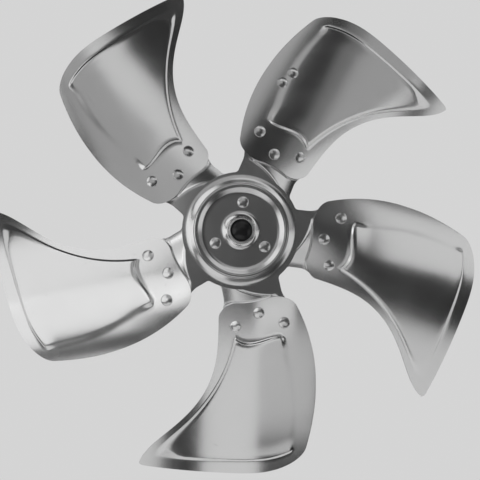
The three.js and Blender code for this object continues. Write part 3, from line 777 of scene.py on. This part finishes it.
def make_shaft():
    low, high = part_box("drive_shaft")
    front, end = low[1] / MM, high[1] / MM
    sphere = (SHAFT_R ** 2 + SHAFT_CROWN ** 2) / (2 * SHAFT_CROWN)
    half = math.degrees(math.asin(SHAFT_R / sphere))
    dome = arc(0, front + sphere, sphere, -90, -90 + half, 16)
    dome[0] = (0.0, front)
    shoulder = dome[-1][1]
    dome[-1] = (9.35, shoulder)
    rear = [(SHAFT_R, shoulder + 0.2), (SHAFT_R, end - 1.0), (8.6, end), (0.0, end)]
    seat = KEY_LOW - FIT_GAP
    width, length = KEY_WIDTH + 2 * FIT_GAP, KEY_LENGTH + 2 * FIT_GAP
    return cut(turned("shaft", dome + rear, BLACK), [
        block("tool", (width, length, 9.5), (0, KEY_Y, seat + 4.75)),
        block("tool", (30.0, 2 * DRIVE_FLAT_LENGTH, 10.0), (0, end, DRIVE_FLAT + 5.0)),
    ])


def make_key():
    centre = (0, KEY_Y, (KEY_LOW + KEY_TOP) / 2)
    return bevel(block("key", (KEY_WIDTH, KEY_LENGTH, KEY_TOP - KEY_LOW), centre, SCREW), 0.35)


def set_screw(name, radius, inner, outer, y, turn):
    """A headless screw: cup point inwards, hexagon socket outwards."""
    length = outer - inner
    screw = turned(name, [
        (0.0, 0.6), (radius * 0.35, 0.45), (radius * 0.5, 0.0), (radius - 0.5, 0.9),
        (radius, 1.4), (radius, length - 0.4), (radius - 0.4, length), (0.0, length),
    ], SCREW, 48)
    cut(screw, [rod(radius / 2, length - 3.0, length + 1.0, 6)])
    outwards = Matrix.Rotation(math.radians(90), 4, "X")
    screw.data.transform(turn_about_y(turn) @ shift(0, y, inner) @ outwards)
    return screw


keep(make_sleeve(), "hub_sleeve", ROTOR)
keep(make_shaft(), "drive_shaft", ROTOR)
keep(make_key(), "hub_key", ROTOR)
for k, (floor, turn) in enumerate(((KEY_TOP, 0), (SHAFT_R, 90))):
    piece = set_screw(f"hub_screw_{k + 1}", 4.0, floor + SEAT_GAP, HUB_SCREW_OUT, HUB_SCREW_Y, turn)
    keep(piece, f"hub_set_screw_{k + 1}", ROTOR)

# Bearing. Its lengths are measured from the balls' middle.
BALLS = 8
BALL_R = 3.97
BALL_Y = sum(point[1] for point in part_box("bearing_ball_1")) / 2 / MM
RING_R = 14.0
RING_FRONT, RING_REAR = BALL_Y - 18.3, BALL_Y + 12.7
RACE_DEPTH = 1.22
RACE_GAP = 0.3
RACE_R = BALL_R + RACE_GAP
BALL_CIRCLE = RING_R + BALL_R - RACE_DEPTH
OUTER_BORE = BALL_CIRCLE + BALL_R - RACE_DEPTH - RACE_GAP
OUTER_R = OUTER_BORE + 4.3
HALF = 8.5
SEAL_RECESS = 0.8
SEAL_SHEET = 1.2
SEAL_STEP = SEAL_RECESS + SEAL_SHEET + SEAT_GAP
RING_SCREW_HOLE = 3.2
RING_SCREW_Y = RING_FRONT + 5.0
SEAT_R = OUTER_R + FIT_GAP
SEAT_LIP = 1.2
MOUNT_Y = RING_REAR + SEAT_GAP + 2.0
FLANGE_FRONT = MOUNT_Y - 12.0
FLANGE_ROUND = 1.4
HUB_R = SEAT_R + 6.2
HUB_FILLET = 2.0
BOLTS = 3
BOLT_R = 4.5
BOLT_CIRCLE = HUB_R + HUB_FILLET + 7.5
FLANGE_R = BOLT_CIRCLE + BOLT_R + 5.5


def make_inner_ring():
    side = math.degrees(math.acos((BALL_CIRCLE - RING_R) / RACE_R))
    front, rear = RING_FRONT, RING_REAR
    ring = turned("inner_ring", [
        (BORE, front + 0.5), (BORE + 0.5, front), (RING_R - 0.7, front), (RING_R, front + 0.7),
        *arc(BALL_CIRCLE, BALL_Y, RACE_R, 180 + side, 180 - side, 16),
        (RING_R, rear - 0.7), (RING_R - 0.7, rear), (BORE + 0.5, rear), (BORE, rear - 0.5),
        (BORE, front + 0.5),
    ], RACE)
    return cut(ring, [cross_hole(RING_SCREW_HOLE, RING_SCREW_Y, turn) for turn in (0, 90)])


def make_outer_ring():
    side = math.degrees(math.acos((OUTER_BORE - BALL_CIRCLE) / RACE_R))
    shoulder = math.degrees(math.asin((HALF - 0.5) / OUTER_R))
    outside = arc(0, BALL_Y, OUTER_R, -shoulder, shoulder, 20)
    face = OUTER_R * math.cos(math.radians(shoulder)) - 0.6
    front, rear = BALL_Y - HALF, BALL_Y + HALF
    return turned("outer_ring", [
        *outside, (face, rear), (OUTER_BORE + 1, rear), (OUTER_BORE + 1, rear - SEAL_STEP),
        (OUTER_BORE, rear - SEAL_STEP),
        *arc(BALL_CIRCLE, BALL_Y, RACE_R, side, -side, 16),
        (OUTER_BORE, front + SEAL_STEP), (OUTER_BORE + 1, front + SEAL_STEP),
        (OUTER_BORE + 1, front), (face, front), outside[0],
    ], RACE)


def make_seal(name, way):
    near = BALL_Y + way * (HALF - SEAL_RECESS - SEAL_SHEET)
    far = BALL_Y + way * (HALF - SEAL_RECESS)
    dish = far - way * 0.35
    inner, outer = RING_R + 0.4, OUTER_BORE + 0.8
    return turned(name, [
        (inner, near), (outer, near), (outer, far), (outer - 0.7, far), (outer - 1.2, dish),
        (inner + 1.2, dish), (inner + 0.6, far), (inner, far - way * 0.2), (inner, near),
    ], RUBBER, smooth_angle=40)


def make_cage():
    half, edge, chamfer = 4.6, 1.2, 0.2
    corners = [(-edge, -half + chamfer), (-edge + chamfer, -half), (edge - chamfer, -half),
               (edge, -half + chamfer), (edge, half - chamfer), (edge - chamfer, half),
               (-edge + chamfer, half), (-edge, half - chamfer), (-edge, -half + chamfer)]
    cage = turned("cage", [(BALL_CIRCLE + r, BALL_Y + y) for r, y in corners], BRASS)
    pockets = [cross_hole(BALL_R + 0.25, BALL_Y, 360 / BALLS * k) for k in range(BALLS)]
    return cut(cage, pockets)


def make_ball(k):
    angle = math.radians(90 + 360 / BALLS * k)
    profile = [(0.0, -BALL_R), *arc(0, 0, BALL_R, -84, 84, 22), (0.0, BALL_R)]
    ball = turned(f"ball_{k + 1}", profile, RACE, 40, 60)
    ball.data.transform(shift(BALL_CIRCLE * math.cos(angle), BALL_Y, BALL_CIRCLE * math.sin(angle)))
    return ball


def make_housing():
    seat = math.degrees(math.asin(HALF / SEAT_R))
    lip = SEAT_R * math.cos(math.radians(seat))
    recess = SEAT_R + 3.3
    front, rear = BALL_Y - HALF - SEAT_LIP, BALL_Y + HALF + SEAT_LIP
    housing = turned("housing", [
        (lip, front + 0.4), (lip + 0.4, front),
        *arc(HUB_R - HUB_FILLET, front + HUB_FILLET, HUB_FILLET, -90, 0, 8),
        *arc(HUB_R + HUB_FILLET, FLANGE_FRONT - HUB_FILLET, HUB_FILLET, 180, 90, 8),
        *arc(FLANGE_R - FLANGE_ROUND, FLANGE_FRONT + FLANGE_ROUND, FLANGE_ROUND, -90, 0, 6),
        (FLANGE_R, MOUNT_Y - 0.4), (FLANGE_R - 0.4, MOUNT_Y), (recess, MOUNT_Y),
        (recess, rear), (lip, rear),
        *arc(0, BALL_Y, SEAT_R, seat, -seat, 20), (lip, front + 0.4),
    ], IRON, 128)
    bolts = []
    for k in range(BOLTS):
        angle = math.radians(90 + 360 / BOLTS * k)
        bolt = rod(BOLT_R, FLANGE_FRONT - 10, MOUNT_Y + 10, 48)
        bolt.data.transform(shift(BOLT_CIRCLE * math.cos(angle), 0, BOLT_CIRCLE * math.sin(angle)))
        bolts.append(bolt)
    return cut(housing, bolts)


keep(make_inner_ring(), "bearing_inner_ring", ROTOR)
keep(make_outer_ring(), "bearing_outer_ring", UNIT)
for k, turn in enumerate((0, 90)):
    piece = set_screw(f"ring_screw_{k + 1}", 3.0, SHAFT_R + SEAT_GAP, RING_R, RING_SCREW_Y, turn)
    keep(piece, f"bearing_set_screw_{k + 1}", ROTOR)
for side, way in (("front", -1), ("rear", 1)):
    keep(make_seal(f"seal_{side}", way), f"bearing_seal_{side}", UNIT)
keep(make_cage(), "bearing_cage", BALL_SET)
for k in range(BALLS):
    keep(make_ball(k), f"bearing_ball_{k + 1}", BALL_SET)
keep(make_housing(), "bearing_housing", UNIT)

# Studio, in metres
FLOOR_Z = -0.9
WALL_R = 4.2
WALL_TOP = 4.0
COVE = 0.8
LAMP_Y = -0.7
NEAR_Y = -0.3


def paper_material():
    """Pale paper. Near the object it is lit by the lamps and takes shadows; farther out it shows
    an even pale tone."""
    material = bpy.data.materials.new("studio_paper")
    material.use_nodes = True
    tree = material.node_tree
    tree.nodes.clear()
    rays = add_node(tree, "ShaderNodeLightPath").outputs
    seen = arithmetic(tree, "ADD", rays["Is Camera Ray"], rays["Is Glossy Ray"])
    seen = arithmetic(tree, "ADD", seen, rays["Is Transmission Ray"], clamp=True)
    flat = scaled(tree, object_coords(tree), (1, 1, 0))
    away = add_node(tree, "ShaderNodeVectorMath", {0: flat}, operation="LENGTH").outputs["Value"]
    far = ramp(tree, away, 0.0, 1.0, 0.8, 2.0, "SMOOTHSTEP")
    paper = add_node(tree, "ShaderNodeBsdfDiffuse", {"Color": (0.86, 0.86, 0.86, 1)})
    glow = add_node(tree, "ShaderNodeEmission", {"Color": (0.66, 0.66, 0.66, 1), "Strength": 1.0})
    surface = add_node(tree, "ShaderNodeMixShader", {
        "Fac": arithmetic(tree, "MULTIPLY", seen, far),
        1: paper.outputs["BSDF"],
        2: glow.outputs["Emission"],
    })
    add_node(tree, "ShaderNodeOutputMaterial", {"Surface": surface.outputs["Shader"]})
    return material


def stage_object(name, verts, faces, material):
    mesh = bpy.data.meshes.new(name)
    mesh.from_pydata(verts, [], faces)
    mesh.shade_smooth()
    mesh.materials.append(material)
    obj = bpy.data.objects.new(name, mesh)
    bpy.context.scene.collection.objects.link(obj)
    return obj


def cyclorama():
    """A flat floor that turns up into a round wall."""
    profile = [(r, FLOOR_Z) for r in (0.0, 0.6, 1.2, 2.0, 2.8)]
    profile += [(WALL_R - COVE + COVE * math.sin(a), FLOOR_Z + COVE - COVE * math.cos(a))
                for a in np.linspace(0, math.pi / 2, 16)]
    profile += [(WALL_R, WALL_TOP)]
    turns = np.radians(np.linspace(0, 360, 145))
    verts = [(r * math.cos(a), r * math.sin(a), z) for r, z in profile for a in turns]
    faces = sheet_faces(len(profile), len(turns))
    return stage_object("studio_floor", verts, faces, paper_material())


def softbox(name, left, right, low, high, radiance, y=LAMP_Y):
    """A soft panel that faces the rear squarely. Its edges are as seen from the front."""
    width, height = right - left, high - low
    data = bpy.data.lights.new(name, "AREA")
    data.shape = "RECTANGLE"
    data.size = width
    data.size_y = height
    data.energy = radiance * math.pi * width * height
    obj = bpy.data.objects.new(name, data)
    obj.location = ((left + right) / 2, y, (low + high) / 2)
    obj.rotation_euler = (math.radians(90), 0, 0)
    obj.visible_camera = False
    bpy.context.scene.collection.objects.link(obj)
    return obj


def flood(name, size, radiance, place, tilt):
    """A large soft lamp that only lights matt surfaces and the floor. It looks down untilted."""
    obj = softbox(name, -size / 2, size / 2, -size / 2, size / 2, radiance)
    obj.location = place
    obj.rotation_euler = (math.radians(tilt), 0, 0)
    obj.visible_glossy = False


def flag(name, left, right, low, high, y):
    """A dark board that the camera doesn't see and the shiny pieces mirror."""
    board, tree, shader = new_material(name)
    feed(tree, shader["Base Color"], (0.03, 0.03, 0.03, 1))
    feed(tree, shader["Roughness"], 1.0)
    corners = [(left, y, low), (right, y, low), (right, y, high), (left, y, high)]
    obj = stage_object(name, corners, [(0, 1, 2, 3)], board)
    obj.visible_camera = False
    obj.visible_diffuse = False
    obj.visible_shadow = False


cyclorama()
softbox("softbox_left", -0.82, -0.165, -0.098, 0.097, 0.9, NEAR_Y)
softbox("softbox_left_inner", -0.165, -0.115, -0.05, 0.08, 0.85, NEAR_Y)
softbox("softbox_low_left", -0.38, -0.08, -0.42, -0.155, 0.66, NEAR_Y)
softbox("softbox_low_inner", -0.115, 0.035, -0.155, -0.112, 0.75, NEAR_Y)
softbox("softbox_low", -0.08, 0.13, -0.285, -0.155, 0.50, NEAR_Y)
softbox("softbox_right", 0.205, 0.83, -0.155, 0.025, 0.66, NEAR_Y)
softbox("softbox_high_left", -1.15, -0.32, 0.29, 1.27, 0.85)
softbox("softbox_top_left", -0.27, -0.04, 0.03, 0.73, 0.34)
softbox("softbox_top", -0.04, 0.24, 0.17, 0.53, 0.38)
softbox("softbox_high_right", -0.05, 1.50, 0.51, 0.82, 0.66)
softbox("softbox_far_right", 0.33, 0.85, 0.04, 0.35, 0.34, NEAR_Y)
softbox("softbox_far_inner", 0.25, 0.33, 0.04, 0.35, 0.14, NEAR_Y)
softbox("softbox_front", -0.25, 0.30, -0.20, 0.13, 0.045, LAMP_Y - 0.04)
softbox("softbox_crown", -0.45, -0.20, 0.50, 0.90, 0.6, NEAR_Y)
flag("flag_front", -1.7, 2.6, FLOOR_Z + 0.01, 2.2, -0.8)
flag("flag_low", -0.30, 0.06, -0.82, -0.46, NEAR_Y)
flag("flag_rear", -0.35, 0.35, -0.35, 0.45, 1.3)
flag("flag_rear_low", -2.4, 2.4, FLOOR_Z + 0.01, -0.45, 1.6)
flood("flood_front", 2.4, 0.6, (0, -0.75, 0.4), 90)
flood("flood_rear", 2.4, 1.0, (0, 1.35, 0.4), -90)
flood("flood_top", 3.0, 1.1, (0, 0.2, 2.3), 0)

world = bpy.data.worlds.new("studio")
bpy.context.scene.world = world
world.use_nodes = True
background = world.node_tree.nodes["Background"]
background.inputs["Color"].default_value = (0.05, 0.05, 0.05, 1)
background.inputs["Strength"].default_value = 1.0

# Camera, fitted to the blades' outlines and the rivets in the photograph
IMAGE = 480
PIXEL = 0.8825  # millimetres at the axis
AXIS_X, AXIS_Y = 241.0, 230.6  # where the origin stands in the image
SENSOR = 36.0
DISTANCE = 1.5
AZIMUTH = math.radians(-3.4)
ELEVATION = math.radians(-2.9)

camera_data = bpy.data.cameras.new("camera")
camera_data.sensor_width = SENSOR
camera_data.sensor_fit = "HORIZONTAL"
camera_data.lens = SENSOR * DISTANCE / (IMAGE * PIXEL * MM)
camera_data.clip_end = 20
camera_data.shift_x = -(AXIS_X - IMAGE / 2) / IMAGE
camera_data.shift_y = (AXIS_Y - IMAGE / 2) / IMAGE
camera = bpy.data.objects.new("camera", camera_data)
camera.location = DISTANCE * Vector((
    math.sin(AZIMUTH) * math.cos(ELEVATION),
    -math.cos(AZIMUTH) * math.cos(ELEVATION),
    math.sin(ELEVATION),
))
camera.rotation_euler = (-camera.location).to_track_quat("-Z", "Y").to_euler()
bpy.context.scene.collection.objects.link(camera)
bpy.context.scene.camera = camera

bpy.context.scene.view_settings.view_transform = "Standard"
